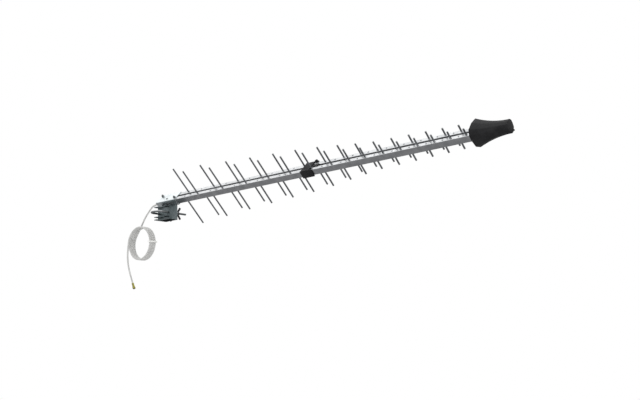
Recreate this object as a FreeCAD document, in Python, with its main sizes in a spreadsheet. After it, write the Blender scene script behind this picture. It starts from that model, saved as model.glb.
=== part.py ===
import FreeCAD, Part
import math
import os
from FreeCAD import Placement, Rotation, Vector

# A log-periodic cellular antenna with its clamp, in millimetres.
# The origin is on the clamp's axis at the U-bolt. X runs along the booms to the nose, and Z is up.
# The booms are rolled about X, so s is the direction from the near boom to the far one,
# and e is the direction of the rods.

DIPOLES = 31
ZONE_ENDS = (6, 12, 19)
LAST_REAR_SPACE = 17
ROD_BEHIND_CLIP = 11
LEAD_JOIN = 150
ARC_SHARE = 0.45
# The coax's points: its lead's after the plug's boss, the last of them level with the coil's far side,
# and its tail's after the coil.
LEAD_ROUTE = ((0, 0, 0), (-18, 0, 0), (-38, 1.4, -13), (-66, 5.6, -32.4))
LEAD_TURN = (-95, -0.4, -59.4)
TAIL_ROUTE = ((0, 0, 0), (-4, -1, -34), (1, -1, -70), (12, 0, -101), (21, 0, -122))

doc = FreeCAD.newDocument("CellularAntenna")
sheet = doc.addObject("Spreadsheet::Sheet", "Dims")

DRIVING = {
    # booms
    "roll": 45.0,
    "axis_y": 45.0,
    "axis_z": 43.0,
    "tube_wide": 13.5,
    "tube_tall": 17.5,
    "tube_wall": 1.5,
    "boom_gap": 8.0,
    "boom_rear": -42.0,
    "boom_ahead": 30.0,
    # rods
    "rod_dia": 4.8,
    "first_x": 83.4,
    "first_half": 95.2,
    "ratio_a": 0.954,
    "ratio_b": 0.966,
    "ratio_c": 0.9254,
    "ratio_d": 0.9754,
    "space_rear": 0.59,
    "space_front": 0.7865,
    # nose cap
    "cap_over": 1.1,
    "cap_length": 90.5,
    "cap_wall": 1.8,
    "rim_s": 34.0,
    "rim_clear": 5.7,
    "tip_s": 16.0,
    "tip_e": 17.0,
    "waist_at": 0.45,
    "waist_in": 4.5,
    "insulator_in": 11.0,
    "insulator_length": 8.0,
    "link_thick": 1.2,
    "link_width": 6.0,
    "link_span": 24.0,
    # clip half way along the booms
    "clip_clear": 1.15,
    "clip_wall": 3.0,
    "plate_rear": 2.2,
    "plate_front": 7.0,
    "tongue_length": 22.0,
    "tongue_lap": 1.2,
    "tongue_rise": 1.5,
    "ear_in": 13.2,
    "ear_length": 26.5,
    "ear_reach": 7.0,
    "ear_over": 0.25,
    "ear_gap": 3.0,
    "clip_screw_in": 22.0,
    "clip_screw_dia": 4.0,
    "clip_screw_end": 1.5,
    "clip_nut": 3.0,
    "knob_dia": 9.0,
    "knob_height": 5.0,
    # rear clamp on the booms
    "plate": 2.0,
    "strap_rear": -41.0,
    "strap_front": 45.0,
    "bolt_front": 39.0,
    "bolt_rear": -30.0,
    "bolt_dia": 5.0,
    "bolt_nut": 4.0,
    "bolt_head": 3.5,
    "bolt_end": 4.0,
    "hex_flats": 8.0,
    "screw_x": 2.5,
    "screw_s": -8.0,
    "screw_dia": 3.0,
    "screw_head": 7.0,
    "screw_head_height": 2.0,
    "bridge_x": -40.0,
    "bridge_length": 24.0,
    # bracket, jaw and U-bolt under the rear clamp
    "mast_r": 17.5,
    "sheet_thick": 2.5,
    "bracket_half": 27.0,
    "bracket_drop": 20.5,
    "bracket_rise": 24.0,
    "web_y": 53.0,
    "jaw_y": 23.0,
    "jaw_front": 6.0,
    "rib_low": -12.5,
    "ubolt_dia": 6.0,
    "ubolt_end": 91.0,
    "hole_gap": 0.4,
    "thread_gap": 0.2,
    "washer_dia": 12.5,
    "washer_thick": 1.5,
    "seat_gap": 0.3,
    "nut_hub": 11.0,
    "nut_top": 9.4,
    "nut_height": 8.0,
    "wing_reach": 18.0,
    "wing_rise": 15.5,
    "wing_thick": 3.0,
    "wing_tip": 3.0,
    "wing_root": 2.8,
    "wing_low": 0.8,
    "wing_elbow": 2.4,
    "wing_neck": 6.0,
    # boom end plugs
    "plug_plate": 2.0,
    "plug_depth": 6.0,
    "boss_dia": 9.0,
    "boss_length": 4.0,
    # coax
    "coax_dia": 5.0,
    "coil_x": -123.4,
    "coil_y": 38.4,
    "coil_z": -76.8,
    "coil_r": 50.0,
    "coil_turns": 6.0,
    "tie_width": 5.0,
    "tie_thick": 1.2,
    # connector
    "ferrule_dia": 6.8,
    "ferrule_length": 10.0,
    "body_dia": 5.2,
    "body_length": 9.0,
    "coupling_flats": 8.0,
    "coupling_length": 8.2,
    "pin_dia": 1.0,
    "pin_length": 1.5,
}

for row, (name, number) in enumerate(DRIVING.items(), start=1):
    sheet.set("A%d" % row, name)
    sheet.set("B%d" % row, str(number))
    sheet.setAlias("B%d" % row, name)


def zone_ratio(number):
    """The alias of the ratio between a dipole and the one behind it."""
    zone = sum(number > end for end in ZONE_ENDS)
    return "ratio_" + "abcd"[zone]


# The sheet works out each dipole's half length and place from the one behind it.
for number in range(1, DIPOLES + 1):
    half = "=first_half"
    place = "=first_x"
    if number > 1:
        last = number - 1
        space = "space_rear" if last <= LAST_REAR_SPACE else "space_front"
        half = "=half_%02d * %s" % (last, zone_ratio(number))
        place = "=place_%02d + %s * half_%02d" % (last, space, last)
    sheet.set("D%d" % number, half)
    sheet.setAlias("D%d" % number, "half_%02d" % number)
    sheet.set("E%d" % number, place)
    sheet.setAlias("E%d" % number, "place_%02d" % number)
doc.recompute()

PITCH = "(tube_wide + boom_gap)"
BOLT_PLACES = {-1: "bolt_front", 1: "bolt_rear"}
HALF = "(tube_tall / 2)"
OUT_S = "(tube_wide + boom_gap / 2)"
REACH_S = "(tube_wide + boom_gap / 2 + plate)"
REACH_E = "(tube_tall / 2 + plate)"
LEG_X = "(mast_r + ubolt_dia / 2)"
BORE_WIDE = "(tube_wide - 2 * tube_wall)"
BORE_TALL = "(tube_tall - 2 * tube_wall)"

# What the rods' places settle: the booms' front ends, the nose cap, and the clip between two rods.
BOOM_FRONT = "(place_%02d + boom_ahead)" % DIPOLES
CAP_X = "(place_%02d - cap_over)" % DIPOLES
CLIP_X = "(place_%02d + rod_dia / 2 + clip_clear)" % ROD_BEHIND_CLIP
CLIP_END = "(place_%02d - rod_dia / 2 - clip_clear)" % (ROD_BEHIND_CLIP + 1)
CLIP_LENGTH = "(%s - %s)" % (CLIP_END, CLIP_X)
EAR_X = "(%s + ear_in)" % CLIP_X
EAR_HALF = "(tube_tall / 2 + ear_over)"
CLIP_SCREW_X = "(%s + clip_screw_in)" % EAR_X

nodes = {}


def value(name):
    """A number from the sheet, for the shapes made in code."""
    return float(sheet.get(name))


def bound(text):
    """An expression in the sheet's aliases, as the document's objects need it."""
    words = []
    word = ""
    for letter in text + " ":
        if letter.isalnum() or letter == "_":
            word += letter
            continue
        if word and not word[0].isdigit() and word not in ("sin", "cos"):
            word = "Dims." + word
        words.append(word + letter)
        word = ""
    return "".join(words).strip()


def bind(item, **expressions):
    """Bind an object's properties to the sheet."""
    for prop, text in expressions.items():
        item.setExpression(prop, bound(str(text)))
    return item


def put(item, x, y, z, axis=None, angle=None):
    """Bind an object's place, and turn it about an axis."""
    item.setExpression("Placement.Base.x", bound(str(x)))
    item.setExpression("Placement.Base.y", bound(str(y)))
    item.setExpression("Placement.Base.z", bound(str(z)))
    if axis is not None:
        item.Placement.Rotation = Rotation(axis, 1)
        item.setExpression("Placement.Rotation.Angle", bound(str(angle)))
    return item


def put_rolled(item, x, s, e, extra=0):
    """Place an object in the booms' rolled directions."""
    y = "axis_y + (%s) * cos(roll) - (%s) * sin(roll)" % (s, e)
    z = "axis_z + (%s) * sin(roll) + (%s) * cos(roll)" % (s, e)
    return put(item, x, y, z, Vector(1, 0, 0), "roll + %s" % extra)


def box(name, x, y, z, length, width, height):
    item = doc.addObject("Part::Box", name)
    bind(item, Length=length, Width=width, Height=height)
    return put(item, x, y, z)


def rolled_box(name, x, s, e, length, width, height):
    item = doc.addObject("Part::Box", name)
    bind(item, Length=length, Width=width, Height=height)
    return put_rolled(item, x, s, e)


def rolled_rod(name, dia, x, s, e, height, extra=0):
    """A cylinder along e, or along minus e with an extra half turn."""
    item = doc.addObject("Part::Cylinder", name)
    bind(item, Radius="(%s) / 2" % dia, Height=height)
    return put_rolled(item, x, s, e, extra)


def rolled_hex(name, flats, x, s, e, height):
    """A hexagonal prism along e."""
    item = doc.addObject("Part::Prism", name)
    item.Polygon = 6
    bind(item, Circumradius="(%s) / 2 / cos(30)" % flats, Height=height)
    return put_rolled(item, x, s, e)


def y_rod(name, dia, x, y, z, height):
    """A cylinder along Y."""
    item = doc.addObject("Part::Cylinder", name)
    bind(item, Radius="(%s) / 2" % dia, Height=height)
    return put(item, x, y, z, Vector(1, 0, 0), -90)


def x_rod(name, dia, x, y, z, height):
    """A cylinder along X."""
    item = doc.addObject("Part::Cylinder", name)
    bind(item, Radius="(%s) / 2" % dia, Height=height)
    return put(item, x, y, z, Vector(0, 1, 0), 90)


def cut(name, base, *tools):
    for index, tool in enumerate(tools):
        item = doc.addObject("Part::Cut", "%s_cut%d" % (name, index))
        item.Base = base
        item.Tool = tool
        base = item
    return base


def fuse(name, *pieces):
    item = doc.addObject("Part::MultiFuse", name)
    item.Shapes = list(pieces)
    item.Refine = True
    return item


def group(name, *pieces):
    item = doc.addObject("Part::Compound", name)
    item.Links = list(pieces)
    return item


def feature(name, shape):
    """A shape made in code from the sheet's values."""
    item = doc.addObject("Part::Feature", name)
    item.Shape = shape
    return item


def rolled_frame():
    """The matrix that takes (x, s, e) to the part's frame."""
    turn = Placement(Vector(0, value("axis_y"), value("axis_z")), Rotation(Vector(1, 0, 0), value("roll")))
    return turn.toMatrix()


def booms():
    """Two rectangular tubes side by side."""
    length = "%s - boom_rear" % BOOM_FRONT
    for name, s in (("boom_near", "-" + OUT_S), ("boom_far", "boom_gap / 2")):
        outer = rolled_box(name + "_outer", "boom_rear", s, "-" + HALF, length, "tube_wide", "tube_tall")
        bore_s = "%s + tube_wall" % s
        bore_e = "tube_wall - " + HALF
        bore = rolled_box(name + "_bore", "boom_rear", bore_s, bore_e, length, BORE_WIDE, BORE_TALL)
        # The clamp's bolt goes right through each boom, at opposite ends of the clamp.
        side = -1 if name == "boom_near" else 1
        hole = rolled_rod(name + "_hole", "bolt_dia", BOLT_PLACES[side], "%d * %s / 2" % (side, PITCH),
                          "-tube_tall", "2 * tube_tall")
        tools = [bore, hole]
        if name == "boom_near":
            tools.append(rolled_rod("screw_hole", "screw_dia", "screw_x", "screw_s", "0", "tube_tall"))
        nodes[name] = cut(name, outer, *tools)


def dipoles():
    """Each dipole has one half on each boom, and the halves change sides along the booms."""
    for number in range(1, DIPOLES + 1):
        name = "dipole_%02d" % number
        side = 1 if number % 2 else -1
        height = "half_%02d - %s" % (number, HALF)
        place = "place_%02d" % number
        upper = rolled_rod(name + "_upper", "rod_dia", place, "%d * %s / 2" % (side, PITCH), HALF, height)
        lower = rolled_rod(name + "_lower", "rod_dia", place, "%d * %s / 2" % (-side, PITCH), "-" + HALF,
                           height, 180)
        nodes[name] = group(name, upper, lower)


# Corners of the cap's outline from its ridge down one side, as shares of its half width and half height.
# The other side mirrors them.
CAP_CORNERS = ((0.0, 0.92), (-0.72, 0.82), (-0.98, 0.5), (-1.0, 0.11), (-0.84, -0.54), (-0.3, -0.96))


def cap_section(x, half_s, half_e):
    """The cap's outline at one place along the booms."""
    side = [Vector(x, s * half_s, e * half_e) for s, e in CAP_CORNERS]
    other = [Vector(x, -p.y, p.z) for p in side[:0:-1]]
    return Part.makePolygon(side + other + side[:1])


def cap_solid(inset, short):
    """A solid inside the cap's outer face, inset all round and shorter at the tip."""
    length = value("cap_length")
    share = value("waist_at")
    last = "%02d" % DIPOLES
    rims = {"s": value("rim_s"), "e": value("half_" + last) + value("rim_clear") + value("cap_wall")}
    sizes = {}
    for axis, rim in rims.items():
        tip = value("tip_" + axis)
        waist = rim + (tip - rim) * share - value("waist_in")
        sizes[axis] = [rim - inset, waist - inset, tip - inset]
    rim_x = value("place_" + last) - value("cap_over")
    places = [rim_x, rim_x + share * length, rim_x + length - short]
    wires = [cap_section(x, s, e) for x, s, e in zip(places, sizes["s"], sizes["e"])]
    return Part.makeLoft(wires, True, False).transformGeometry(rolled_frame())


def nose():
    """The plastic cap, the insulator that holds the booms in it, and the feed link."""
    wall = value("cap_wall")
    outer = feature("cap_outer", cap_solid(0.0, 0.0))
    inner = feature("cap_inner", cap_solid(wall, wall))
    nodes["nose_cap"] = cut("nose_cap", outer, inner)

    reach = 2 * value("rim_s")
    slab = rolled_box("insulator_slab", CAP_X + " + insulator_in", -reach, -reach, "insulator_length",
                      2 * reach, 2 * reach)
    plug = doc.addObject("Part::MultiCommon", "insulator_plug")
    plug.Shapes = [slab, feature("cap_inner_copy", inner.Shape)]
    tools = []
    for name, s in (("near", "-" + OUT_S), ("far", "boom_gap / 2")):
        tools.append(rolled_box("insulator_%s_hole" % name, CAP_X, s, "-" + HALF, "cap_length",
                                "tube_wide", "tube_tall"))
    nodes["nose_insulator"] = cut("nose_insulator", plug, *tools)

    nodes["feed_link"] = rolled_box("feed_link", BOOM_FRONT, "-link_span / 2", "-link_width / 2",
                                    "link_thick", "link_span", "link_width")


def middle_clip():
    """A plastic clip around both booms, with ears on its far side that a screw draws together."""
    near = "-%s - clip_wall" % OUT_S
    low = "-%s - clip_wall" % HALF
    tall = "tube_tall + 2 * clip_wall"
    block = rolled_box("clip_block", CLIP_X, near, low, CLIP_LENGTH, "2 * (%s + clip_wall)" % OUT_S, tall)
    plate = rolled_box("clip_plate", CLIP_X + " - plate_rear", near, low,
                       CLIP_LENGTH + " + plate_rear + plate_front", "clip_wall", tall)
    tongue = rolled_box("clip_tongue", CLIP_END, "-boom_gap / 2 - tongue_lap", HALF, "tongue_length",
                        "boom_gap + 2 * tongue_lap", "tongue_rise")
    ears = rolled_box("clip_ears", EAR_X, OUT_S, "-" + EAR_HALF, "ear_length", "ear_reach",
                      "2 * " + EAR_HALF)
    room = rolled_box("clip_room", CLIP_X, "-" + OUT_S, "-" + HALF, CLIP_LENGTH, "2 * " + OUT_S, "tube_tall")
    slit = rolled_box("clip_slit", CLIP_X, OUT_S, "-ear_gap / 2", "ear_in + ear_length",
                      "clip_wall + ear_reach", "ear_gap")
    screw_s = OUT_S + " + clip_screw_dia / 2 + hole_gap"
    hole = rolled_rod("clip_hole", "clip_screw_dia", CLIP_SCREW_X, screw_s, "-tube_tall", "2 * tube_tall")
    whole = fuse("clip_whole", block, plate, tongue, ears)
    nodes["mid_clip"] = cut("mid_clip", whole, room, slit, hole)

    nodes["gap_spacer"] = rolled_box("gap_spacer", CLIP_X, "-boom_gap / 2", "-" + HALF,
                                     CLIP_LENGTH + " + tongue_length", "boom_gap", "tube_tall")

    past = "clip_nut + clip_screw_end"
    shank = rolled_rod("clip_shank", "clip_screw_dia", CLIP_SCREW_X, screw_s,
                       "-%s - (%s)" % (EAR_HALF, past), "2 * %s + %s" % (EAR_HALF, past))
    knob = rolled_rod("clip_knob", "knob_dia", CLIP_SCREW_X, screw_s, EAR_HALF, "knob_height")
    nodes["clip_screw"] = fuse("clip_screw", shank, knob)
    nut = rolled_hex("clip_nut_body", "hex_flats", CLIP_SCREW_X, screw_s,
                     "-%s - clip_nut" % EAR_HALF, "clip_nut")
    nut_hole = rolled_rod("clip_nut_hole", "clip_screw_dia", CLIP_SCREW_X, screw_s, "-2 * tube_tall",
                          "2 * tube_tall")
    nodes["clip_nut"] = cut("clip_nut", nut, nut_hole)


def rear_clamp():
    """A folded cradle and a folded strap, bolted together around the booms over the bracket."""
    long = "strap_front - strap_rear"
    near = rolled_box("cradle_near", "strap_rear", "-" + REACH_S, "-" + REACH_E, long, "plate",
                      "2 * " + REACH_E)
    under = rolled_box("cradle_under", "strap_rear", "-" + REACH_S, "-" + REACH_E, long, "2 * " + REACH_S,
                       "plate")
    over = rolled_box("strap_over", "strap_rear", "-" + OUT_S, HALF, long, "%s + %s" % (OUT_S, REACH_S),
                      "plate")
    far = rolled_box("strap_far", "strap_rear", OUT_S, "-" + HALF, long, "plate", "tube_tall + plate")

    def bolt_hole(name, side):
        return rolled_rod(name, "bolt_dia", BOLT_PLACES[side], "%d * %s / 2" % (side, PITCH),
                          "-tube_tall", "2 * tube_tall")

    cradle = fuse("cradle_whole", near, under)
    nodes["boom_cradle"] = cut("boom_cradle", cradle, bolt_hole("cradle_hole_near", -1),
                               bolt_hole("cradle_hole_far", 1))
    screw_hole = rolled_rod("strap_screw_hole", "screw_dia", "screw_x", "screw_s", "0", "tube_tall")
    nodes["boom_strap"] = cut("boom_strap", fuse("strap_whole", over, far), bolt_hole("strap_hole_near", -1),
                              bolt_hole("strap_hole_far", 1), screw_hole)

    bolts = []
    for name, side in (("bolt_near", -1), ("bolt_far", 1)):
        x = BOLT_PLACES[side]
        s = "%d * %s / 2" % (side, PITCH)
        shank = rolled_rod(name + "_shank", "bolt_dia", x, s, "-" + REACH_E,
                           "2 * %s + bolt_nut + bolt_end" % REACH_E)
        head = rolled_hex(name + "_head", "hex_flats", x, s, "-%s - bolt_head" % REACH_E, "bolt_head")
        bolts.append(fuse(name, shank, head))
        nut = rolled_hex(name + "_nut", "hex_flats", x, s, REACH_E, "bolt_nut")
        bore = rolled_rod(name + "_nut_bore", "bolt_dia", x, s, "0", "2 * tube_tall")
        bolts.append(cut(name + "_nut", nut, bore))
    nodes["strap_bolts"] = group("strap_bolts", *bolts)

    head = rolled_rod("screw_cap", "screw_head", "screw_x", "screw_s", REACH_E, "screw_head_height")
    shank = rolled_rod("screw_shank", "screw_dia", "screw_x", "screw_s", "tube_wall", REACH_E)
    nodes["strap_screw"] = fuse("strap_screw", head, shank)

    nodes["shorting_bridge"] = rolled_box("shorting_bridge", "bridge_x", "-boom_gap / 2", "-" + HALF,
                                          "bridge_length", "boom_gap", "tube_tall")


def leg_holes(name, y, depth):
    """Tools for the holes that the U-bolt's legs pass through."""
    dia = "ubolt_dia + 2 * hole_gap"
    holes = []
    for side in (-1, 1):
        holes.append(y_rod("%s_hole%d" % (name, side), dia, "%d * %s" % (side, LEG_X), y, 0, depth))
    return holes


def mast_bracket():
    """A folded bracket under the cradle, and a ribbed jaw with round seats."""
    low = "-bracket_drop"
    wide = "2 * bracket_half"
    web = box("bracket_web", "-bracket_half", "web_y - sheet_thick", low, wide, "sheet_thick",
              "bracket_drop + axis_z")
    sides = []
    for name, x in (("rear", "-bracket_half"), ("front", "bracket_half - sheet_thick")):
        sides.append(box("bracket_" + name, x, "jaw_y", low, "sheet_thick", "web_y - jaw_y",
                         "bracket_drop + bracket_rise"))
    room = rolled_box("cradle_room", "-2 * bracket_half", "-" + REACH_S, "-" + REACH_E, "4 * bracket_half",
                      "4 * bracket_half", "4 * bracket_half")
    nodes["mast_bracket"] = cut("mast_bracket", fuse("bracket_whole", web, *sides), room,
                                *leg_holes("web", "jaw_y + sheet_thick", "web_y"))

    back = box("jaw_back", "-bracket_half", "jaw_y - sheet_thick", low, wide, "sheet_thick",
               "2 * bracket_drop")
    ribs = []
    for name, z in (("low", low), ("middle", "rib_low"), ("top", "bracket_drop - sheet_thick")):
        ribs.append(box("jaw_rib_" + name, "-bracket_half", "jaw_front", z, wide,
                        "jaw_y - jaw_front - sheet_thick", "sheet_thick"))
    mast = doc.addObject("Part::Cylinder", "mast_room")
    bind(mast, Radius="mast_r", Height="4 * bracket_drop")
    put(mast, 0, 0, "-2 * bracket_drop")
    nodes["mast_jaw"] = cut("mast_jaw", fuse("jaw_whole", back, *ribs), mast,
                            *leg_holes("jaw", "jaw_y - 2 * sheet_thick", "web_y / 2"))


def u_bolt():
    """A round bar bent to a U, with both legs through the bracket."""
    bow = doc.addObject("Part::Torus", "ubolt_bow")
    bow.Angle3 = 180
    bind(bow, Radius1=LEG_X, Radius2="ubolt_dia / 2")
    put(bow, 0, 0, 0, Vector(0, 0, 1), 180)
    legs = []
    for side in (-1, 1):
        legs.append(y_rod("ubolt_leg%d" % side, "ubolt_dia", "%d * %s" % (side, LEG_X), 0, 0, "ubolt_end"))
    nodes["u_bolt"] = fuse("u_bolt", bow, *legs)

    rings = []
    for side in (-1, 1):
        name = "washer%d" % side
        x = "%d * %s" % (side, LEG_X)
        disc = y_rod(name, "washer_dia", x, "web_y", 0, "washer_thick")
        hole = y_rod(name + "_hole", "ubolt_dia + 2 * hole_gap", x, "web_y - washer_thick", 0,
                     "3 * washer_thick")
        rings.append(cut(name, disc, hole))
    nodes["leg_washers"] = group("leg_washers", *rings)


def wing_nut_shape(x):
    """A wing nut on a leg of the U-bolt, its wings up and down."""
    hub_r = value("nut_hub") / 2
    height = value("nut_height")
    reach = value("wing_reach")
    rise = value("wing_rise")
    thick = value("wing_thick")
    seat = value("web_y") + value("washer_thick") + value("seat_gap")
    tip_r = value("wing_tip")
    root = value("wing_root")
    low = value("wing_low")
    hub = Part.makeCone(hub_r, value("nut_top") / 2, height, Vector(0, 0, 0), Vector(0, 1, 0))

    def corner(y, z):
        return Vector(-thick / 2, y, z)

    tip_low = corner(rise - 2 * tip_r, reach)
    tip_top = corner(rise, reach - tip_r)
    tip_middle = corner(rise - tip_r / 2, reach)
    edges = Part.makePolygon([tip_top, corner(height, hub_r), corner(height - low, root), corner(low, root),
                              corner(value("wing_elbow"), value("wing_neck")), tip_low]).Edges
    edges.append(Part.Arc(tip_low, tip_middle, tip_top).toShape())
    wing = Part.Face(Part.Wire(edges)).extrude(Vector(thick, 0, 0))
    other = wing.mirror(Vector(0, 0, 0), Vector(0, 0, 1))
    bore_r = value("ubolt_dia") / 2 + value("thread_gap")
    bore = Part.makeCylinder(bore_r, 4 * height, Vector(0, -height, 0), Vector(0, 1, 0))
    nut = hub.fuse([wing, other]).removeSplitter().cut(bore)
    nut.translate(Vector(x, seat, 0))
    return nut


def wing_nuts():
    leg = value("mast_r") + value("ubolt_dia") / 2
    nodes["wing_nut_front"] = feature("wing_nut_front", wing_nut_shape(leg))
    nodes["wing_nut_rear"] = feature("wing_nut_rear", wing_nut_shape(-leg))


def end_plugs():
    """Plastic plugs in the booms' rear ends. The coax comes out of the near one."""
    for name, s in (("rear_plug_near", "-" + OUT_S), ("rear_plug_far", "boom_gap / 2")):
        plate = rolled_box(name + "_plate", "boom_rear - plug_plate", s, "-" + HALF, "plug_plate",
                           "tube_wide", "tube_tall")
        plug = rolled_box(name + "_plug", "boom_rear", "%s + tube_wall" % s, "tube_wall - " + HALF,
                          "plug_depth", BORE_WIDE, BORE_TALL)
        pieces = [plate, plug]
        if name == "rear_plug_near":
            y = "axis_y - %s / 2 * cos(roll)" % PITCH
            z = "axis_z - %s / 2 * sin(roll)" % PITCH
            rear = "boom_rear - plug_plate - boss_length"
            pieces.append(x_rod("boss", "boss_dia", rear, y, z, "boss_length"))
        nodes[name] = fuse(name, *pieces)


def lead_points():
    """The coax from the near boom's plug down to the coil's far side."""
    drop = value("tube_wide") + value("boom_gap")
    y = value("axis_y") - drop / 2 * math.cos(math.radians(value("roll")))
    z = value("axis_z") - drop / 2 * math.sin(math.radians(value("roll")))
    x = value("boom_rear") - value("plug_plate") - value("boss_length")
    far_y = value("coil_y") + value("coax_dia") * (value("coil_turns") - 1) / 2
    join = math.radians(LEAD_JOIN)
    end = Vector(value("coil_x") + value("coil_r") * math.cos(join), far_y,
                 value("coil_z") + value("coil_r") * math.sin(join))
    route = [Vector(x, y, z) + Vector(*step) for step in LEAD_ROUTE]
    return route + [Vector(x, far_y, z) + Vector(*LEAD_TURN), end]


def tail_points():
    """The coax from the coil's near side down to the connector."""
    near_y = value("coil_y") - value("coax_dia") * (value("coil_turns") - 1) / 2
    left = Vector(value("coil_x") - value("coil_r"), near_y, value("coil_z"))
    return [left + Vector(*step) for step in TAIL_ROUTE]


def tube(points, dia):
    """A round tube along straight runs joined by tangent arcs, and the arcs' smallest radius."""
    edges = []
    start = points[0]
    smallest = math.inf
    for before, corner, after in zip(points, points[1:], points[2:]):
        into = (corner - before).normalize()
        out = (after - corner).normalize()
        half_turn = into.getAngle(out) / 2
        trim = ARC_SHARE * min((corner - before).Length, (after - corner).Length)
        radius = trim / math.tan(half_turn)
        smallest = min(smallest, radius)
        first = corner - into * trim
        last = corner + out * trim
        inward = (out - into).normalize()
        middle = corner + inward * (radius / math.cos(half_turn) - radius)
        edges.append(Part.makeLine(start, first))
        edges.append(Part.Arc(first, middle, last).toShape())
        start = last
    edges.append(Part.makeLine(start, points[-1]))
    path = Part.Wire(edges)
    ring = Part.Wire(Part.makeCircle(dia / 2, points[0], points[1] - points[0]))
    solid = path.makePipeShell([ring], True, False)
    expected = math.pi * dia * dia / 4 * path.Length
    print("tube length %.1f, smallest radius %.1f, volume ratio %.4f"
          % (path.Length, smallest, solid.Volume / expected))
    return solid


def coax():
    """The cable's solids: its lead, its coil and tie, and its tail."""
    dia = value("coax_dia")
    wide = dia * value("coil_turns")
    centre = Vector(value("coil_x"), value("coil_y"), value("coil_z"))
    along = Vector(0, 1, 0)
    start = centre - along * (wide / 2)
    outer = Part.makeCylinder(value("coil_r") + dia / 2, wide, start, along)
    inner = Part.makeCylinder(value("coil_r") - dia / 2, wide, start, along)
    coil = outer.cut(inner)
    nodes["coax_coil"] = feature("coax_coil", coil)

    thick = value("tie_thick")
    across = dia + 2 * thick
    corner = centre + Vector(value("coil_r") - across / 2, -wide / 2 - thick, -value("tie_width") / 2)
    tie = Part.makeBox(across, wide + 2 * thick, value("tie_width"), corner)
    nodes["coil_tie"] = feature("coil_tie", tie.cut(coil))

    for name, points in (("coax_lead", lead_points()), ("coax_tail", tail_points())):
        pieces = tube(points, dia).cut(coil).Solids
        nodes[name] = feature(name, max(pieces, key=lambda piece: piece.Volume))


def connector():
    """A small threaded connector on the tail's end, with a coupling nut that turns."""
    last, end = tail_points()[-2:]
    down = (end - last).normalize()

    def section(dia, start, length):
        return Part.makeCylinder(dia / 2, length, end + down * start, down)

    ferrule = value("ferrule_length")
    body = value("body_length")
    pieces = [section(value("body_dia"), ferrule, body),
              section(value("pin_dia"), ferrule + body, value("pin_length"))]
    whole = section(value("ferrule_dia"), 0, ferrule).fuse(pieces)
    nodes["connector_body"] = feature("connector_body", whole.removeSplitter())

    radius = value("coupling_flats") / 2 / math.cos(math.pi / 6)
    corners = [Vector(radius * math.cos(k * math.pi / 3), radius * math.sin(k * math.pi / 3), 0)
               for k in range(7)]
    prism = Part.Face(Part.makePolygon(corners)).extrude(Vector(0, 0, value("coupling_length")))
    turn = Rotation(Vector(0, 0, 1), down)
    start = ferrule + value("seat_gap")
    prism = prism.transformGeometry(Placement(end + down * start, turn).toMatrix())
    bore = section(value("body_dia") + 2 * value("thread_gap"), 0, 4 * body)
    nodes["coupling_nut"] = feature("coupling_nut", prism.cut(bore))


booms()
dipoles()
nose()
middle_clip()
rear_clamp()
mast_bracket()
u_bolt()
wing_nuts()
end_plugs()
coax()
connector()
doc.recompute()

os.makedirs("parts", exist_ok=True)
for name, node in nodes.items():
    if "Invalid" in node.State or "Error" in node.State:
        raise RuntimeError("%s didn't build" % name)
    if not node.Shape.isValid() or not node.Shape.Solids:
        raise RuntimeError("%s isn't a valid solid" % name)
    node.Shape.exportStep("parts/%s.step" % name)
print(len(nodes), "nodes")
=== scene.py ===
import math

import bmesh
import bpy
from mathutils import Matrix, Vector


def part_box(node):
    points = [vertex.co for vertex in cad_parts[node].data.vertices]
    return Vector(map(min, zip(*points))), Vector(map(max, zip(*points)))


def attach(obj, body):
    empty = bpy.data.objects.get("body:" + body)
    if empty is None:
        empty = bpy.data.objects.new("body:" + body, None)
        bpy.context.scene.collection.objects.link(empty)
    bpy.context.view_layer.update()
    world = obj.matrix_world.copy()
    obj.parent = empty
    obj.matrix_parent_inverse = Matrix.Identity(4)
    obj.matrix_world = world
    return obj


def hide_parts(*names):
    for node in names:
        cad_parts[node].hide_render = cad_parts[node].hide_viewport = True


# A log-periodic cellular antenna with its clamp, in metres.
# X runs along the booms to the nose, Z is up. The booms are rolled about X: s is the direction
# from the near boom to the far one, and e is the direction of the rods.

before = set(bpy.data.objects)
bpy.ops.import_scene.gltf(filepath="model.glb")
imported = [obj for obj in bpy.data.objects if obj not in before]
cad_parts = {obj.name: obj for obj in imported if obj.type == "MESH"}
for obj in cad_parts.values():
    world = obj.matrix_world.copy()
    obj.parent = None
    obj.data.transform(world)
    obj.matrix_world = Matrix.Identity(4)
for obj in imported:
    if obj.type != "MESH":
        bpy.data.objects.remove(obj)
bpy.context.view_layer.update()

BOOM_AXIS = Vector((0.0, 0.045, 0.043))
BOOM_ROLL = math.radians(45)
ROLLED = Matrix.Translation(BOOM_AXIS) @ Matrix.Rotation(BOOM_ROLL, 4, "X")
UNROLLED = ROLLED.inverted()
ALONG_X = Matrix.Rotation(math.radians(90), 4, "Y")
ALONG_Y = Matrix.Rotation(math.radians(-90), 4, "X")
TURNED_OVER = Matrix.Rotation(math.pi, 4, "X")
WELD = 2e-6


# Measures of the frame

def span(node):
    """A CAD node's lowest and highest corners along X, s and e."""
    points = [UNROLLED @ v.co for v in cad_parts[node].data.vertices]
    low = Vector([min(p[axis] for p in points) for axis in range(3)])
    high = Vector([max(p[axis] for p in points) for axis in range(3)])
    return low, high


# Modelling helpers

ROUND_STEPS = 24
TURNED_STEPS = 28
RING_STEPS = 32
CORNER_STEPS = 3
EASE_STEPS = 2
INSIDE_CORNER = 0.25
THREAD_STEPS = 18
THREAD_DEPTH = 0.55
HEX_CHAMFER = 0.0004
PARALLEL = 0.999
FLAT_WITHIN = math.radians(1)
SMOOTH_UP_TO = math.radians(38)
CREASE = math.radians(40)
CUT_EDGE = math.radians(60)


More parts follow.
